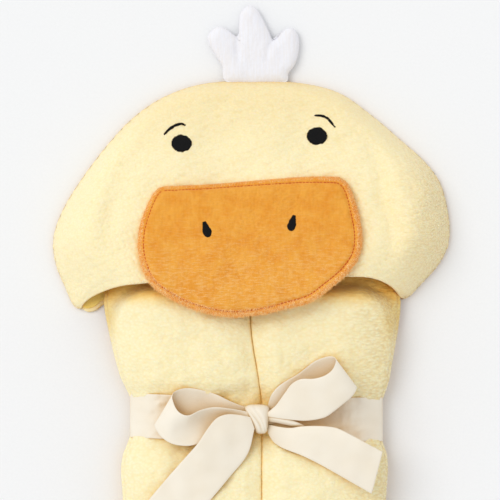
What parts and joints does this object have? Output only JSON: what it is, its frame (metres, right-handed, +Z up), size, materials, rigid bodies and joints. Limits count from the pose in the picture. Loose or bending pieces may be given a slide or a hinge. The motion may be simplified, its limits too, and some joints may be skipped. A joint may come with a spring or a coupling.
{
  "type": "hooded baby towel",
  "caption": "Terry baby towel folded into a bundle, with a lined duckling hood whose padded bill overhangs the brim, tied round the waist with a satin ribbon bow.",
  "frame": {"origin": "middle of the underside of the whole bundle, on the surface that it lies on", "axes": "+Z up out of the face, +Y from the foot of the bundle to the crown of the hood, +X to the right"},
  "size_m": [0.343, 0.4783, 0.0746],
  "materials": {
    "towel_terry": "soft looped terry, pale yellow",
    "hood_velour": "sheared terry velour, pale yellow",
    "lining_knit": "smooth knit, deeper yellow",
    "bill_velour": "sheared velour, orange",
    "bill_thread": "darker orange sewing thread",
    "batting": "loose polyester wadding",
    "eye_thread": "black embroidery thread, dense satin stitch",
    "tuft_velour": "white velour",
    "seam_thread": "pale yellow sewing thread",
    "ribbon_satin": "cream satin"
  },
  "bodies": {
    "root": {"towel_body": "towel_terry", "hood_back_panel": "hood_velour", "crown_seam": "seam_thread", "neck_seam": "seam_thread", "ribbon_band": "ribbon_satin", "ribbon_knot": "ribbon_satin"},
    "hood_face": {"hood_face_panel": "hood_velour", "hood_lining": "lining_knit", "eye_left": "eye_thread", "eye_right": "eye_thread", "brow_left": "eye_thread", "brow_right": "eye_thread"},
    "bill": {"bill_back": "bill_velour", "bill_batting": "batting", "bill_front": "bill_velour", "bill_topstitch": "bill_thread", "nostril_left": "eye_thread", "nostril_right": "eye_thread"},
    "tuft": {"tuft_back": "tuft_velour", "tuft_batting": "batting", "tuft_front": "tuft_velour"},
    "loop_left": {"ribbon_loop_left": "ribbon_satin"},
    "loop_right": {"ribbon_loop_right": "ribbon_satin"},
    "tail_left": {"ribbon_tail_left": "ribbon_satin"},
    "tail_right": {"ribbon_tail_right": "ribbon_satin"}
  },
  "joints": [
    {"name": "hood_lift", "type": "hinge", "parent": "root", "child": "hood_face", "pos_m": [0, 0.1765, 0.004], "axis": [-1, 0, 0], "range_deg": [0, 10]},
    {"name": "bill_flip", "type": "hinge", "parent": "hood_face", "child": "bill", "pos_m": [-0.0045, 0.08586, 0.03704], "axis": [-0.9986, -0.0523, 0], "range_deg": [0, 70]},
    {"name": "tuft_flip", "type": "hinge", "parent": "root", "child": "tuft", "pos_m": [0.004, 0.1762, 0.0082], "axis": [1, 0, 0], "range_deg": [0, 100]},
    {"name": "loop_left_lift", "type": "hinge", "parent": "root", "child": "loop_left", "pos_m": [-0.005, -0.117, 0.0485], "axis": [0.0523, 0.9986, 0], "range_deg": [0, 25]},
    {"name": "loop_right_lift", "type": "hinge", "parent": "root", "child": "loop_right", "pos_m": [0.0185, -0.115, 0.0485], "axis": [0.342, -0.9397, 0], "range_deg": [0, 25]},
    {"name": "tail_left_lift", "type": "hinge", "parent": "loop_left", "child": "tail_left", "pos_m": [-0.014, -0.136, 0.0473], "axis": [-0.7501, 0.6613, 0], "range_deg": [0, 60]},
    {"name": "tail_right_lift", "type": "hinge", "parent": "root", "child": "tail_right", "pos_m": [0.019, -0.134, 0.0436], "axis": [-0.3256, -0.9455, 0], "range_deg": [0, 70]}
  ]
}
